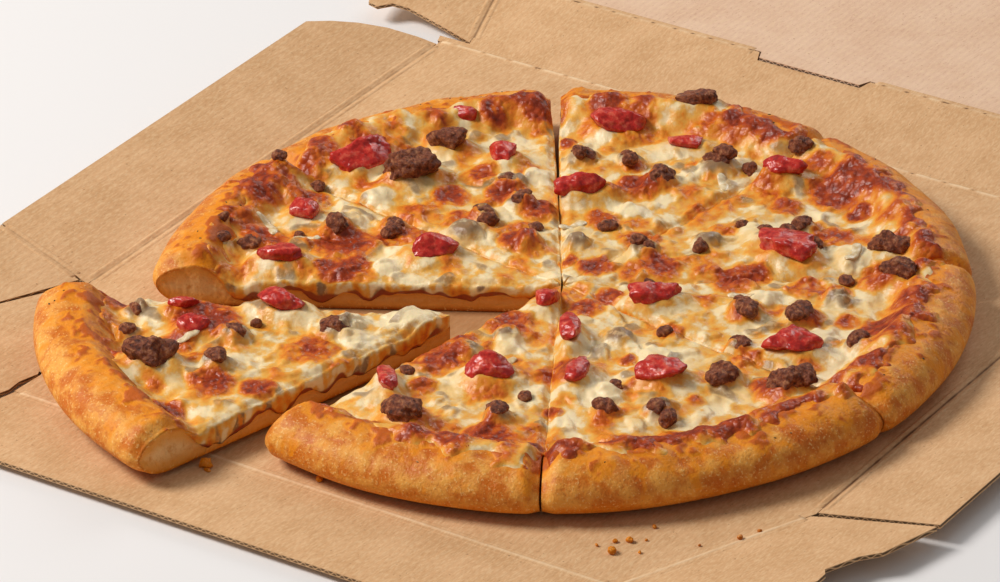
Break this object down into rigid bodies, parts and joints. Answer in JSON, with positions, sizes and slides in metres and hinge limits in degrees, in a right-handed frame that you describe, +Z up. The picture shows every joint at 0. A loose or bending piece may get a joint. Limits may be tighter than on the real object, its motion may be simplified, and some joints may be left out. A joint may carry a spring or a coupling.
{
  "type": "pizza in its open box",
  "caption": "Sliced round pizza with tomato and sausage in its open corrugated box, one slice pulled out.",
  "frame": {"origin": "middle of the base panel's underside, on the table", "axes": "+X right, +Y towards the lid's hinge, +Z up"},
  "size_m": [0.401, 0.7517, 0.0283],
  "materials": {
    "kraft_board": "matt paper",
    "baked_crust": "matt, lightly oiled",
    "melted_cheese": "soft gloss with browned spots",
    "diced_tomato": "wet gloss",
    "sausage_crumble": "rough with oil gloss"
  },
  "bodies": {
    "box_and_pizza": {"base": "kraft_board", "front_wall": "kraft_board", "corner_left": "kraft_board", "dough_1": "baked_crust", "dough_2": "baked_crust", "dough_3": "baked_crust", "dough_4": "baked_crust", "dough_5": "baked_crust", "dough_6": "baked_crust", "dough_7": "baked_crust", "dough_8": "baked_crust", "cheese_1": "melted_cheese", "cheese_2": "melted_cheese", "cheese_3": "melted_cheese", "cheese_4": "melted_cheese", "cheese_5": "melted_cheese", "cheese_6": "melted_cheese", "cheese_7": "melted_cheese", "cheese_8": "melted_cheese", "tomato_1": "diced_tomato", "tomato_2": "diced_tomato", "tomato_3": "diced_tomato", "tomato_4": "diced_tomato", "tomato_5": "diced_tomato", "tomato_6": "diced_tomato", "tomato_7": "diced_tomato", "tomato_8": "diced_tomato", "tomato_9": "diced_tomato", "tomato_10": "diced_tomato", "tomato_11": "diced_tomato", "tomato_12": "diced_tomato", "tomato_13": "diced_tomato", "tomato_14": "diced_tomato", "tomato_15": "diced_tomato", "tomato_16": "diced_tomato", "tomato_17": "diced_tomato", "tomato_18": "diced_tomato", "tomato_19": "diced_tomato", "tomato_20": "diced_tomato", "tomato_21": "diced_tomato", "tomato_22": "diced_tomato", "sausage_1": "sausage_crumble", "sausage_2": "sausage_crumble", "sausage_3": "sausage_crumble", "sausage_4": "sausage_crumble", "sausage_5": "sausage_crumble", "sausage_6": "sausage_crumble", "sausage_7": "sausage_crumble", "sausage_8": "sausage_crumble"},
    "back_wall_panel": {"back_wall": "kraft_board"},
    "lid_panel": {"lid": "kraft_board"},
    "ear_left_panel": {"ear_left": "kraft_board"},
    "ear_right_panel": {"ear_right": "kraft_board"},
    "left_wall_panel": {"left_wall": "kraft_board"},
    "gusset_left_panel": {"gusset_left": "kraft_board"},
    "right_wall_panel": {"right_wall": "kraft_board"},
    "corner_right_panel": {"corner_right": "kraft_board"},
    "lid_flap_left_panel": {"lid_flap_left": "kraft_board"},
    "lid_flap_right_panel": {"lid_flap_right": "kraft_board"},
    "lid_flap_front_panel": {"lid_flap_front": "kraft_board"}
  },
  "joints": [
    {"name": "back_wall_crease", "type": "hinge", "parent": "box_and_pizza", "child": "back_wall_panel", "pos_m": [-0.156, 0.155, 0.0016], "axis": [1, 0, 0], "range_deg": [0, 80]},
    {"name": "lid_crease", "type": "hinge", "parent": "back_wall_panel", "child": "lid_panel", "pos_m": [-0.156, 0.19932, 0.00941], "axis": [1, 0, 0], "range_deg": [0, 92]},
    {"name": "ear_left_crease", "type": "hinge", "parent": "back_wall_panel", "child": "ear_left_panel", "pos_m": [-0.1442, 0.15914, 0.00233], "axis": [-0.2713, 0.9479, 0.1671], "range_deg": [0, 80]},
    {"name": "ear_right_crease", "type": "hinge", "parent": "back_wall_panel", "child": "ear_right_panel", "pos_m": [0.1557, 0.19932, 0.00941], "axis": [-0.2713, -0.9479, -0.1671], "range_deg": [0, 80]},
    {"name": "left_wall_crease", "type": "hinge", "parent": "box_and_pizza", "child": "left_wall_panel", "pos_m": [-0.156, -0.155, 0.0016], "axis": [0, 1, 0], "range_deg": [0, 72]},
    {"name": "gusset_left_crease", "type": "hinge", "parent": "left_wall_panel", "child": "gusset_left_panel", "pos_m": [-0.156, -0.0772, 0.0016], "axis": [-0.9666, 0.1322, 0.2196], "range_deg": [0, 60]},
    {"name": "right_wall_crease", "type": "hinge", "parent": "box_and_pizza", "child": "right_wall_panel", "pos_m": [0.156, 0.155, 0.0016], "axis": [0, -1, 0], "range_deg": [0, 76]},
    {"name": "corner_right_crease", "type": "hinge", "parent": "box_and_pizza", "child": "corner_right_panel", "pos_m": [0.156, -0.078, 0.0016], "axis": [-0.3939, -0.9191, 0], "range_deg": [0, 70]},
    {"name": "lid_flap_left_crease", "type": "hinge", "parent": "lid_panel", "child": "lid_flap_left_panel", "pos_m": [-0.154, 0.19932, 0.00941], "axis": [0, 0.9997, -0.0227], "range_deg": [0, 77]},
    {"name": "lid_flap_right_crease", "type": "hinge", "parent": "lid_panel", "child": "lid_flap_right_panel", "pos_m": [0.154, 0.50954, 0.00237], "axis": [0, -0.9997, 0.0227], "range_deg": [0, 77]},
    {"name": "lid_flap_front_crease", "type": "hinge", "parent": "lid_panel", "child": "lid_flap_front_panel", "pos_m": [-0.156, 0.50954, 0.00237], "axis": [1, 0, 0], "range_deg": [0, 82]}
  ]
}
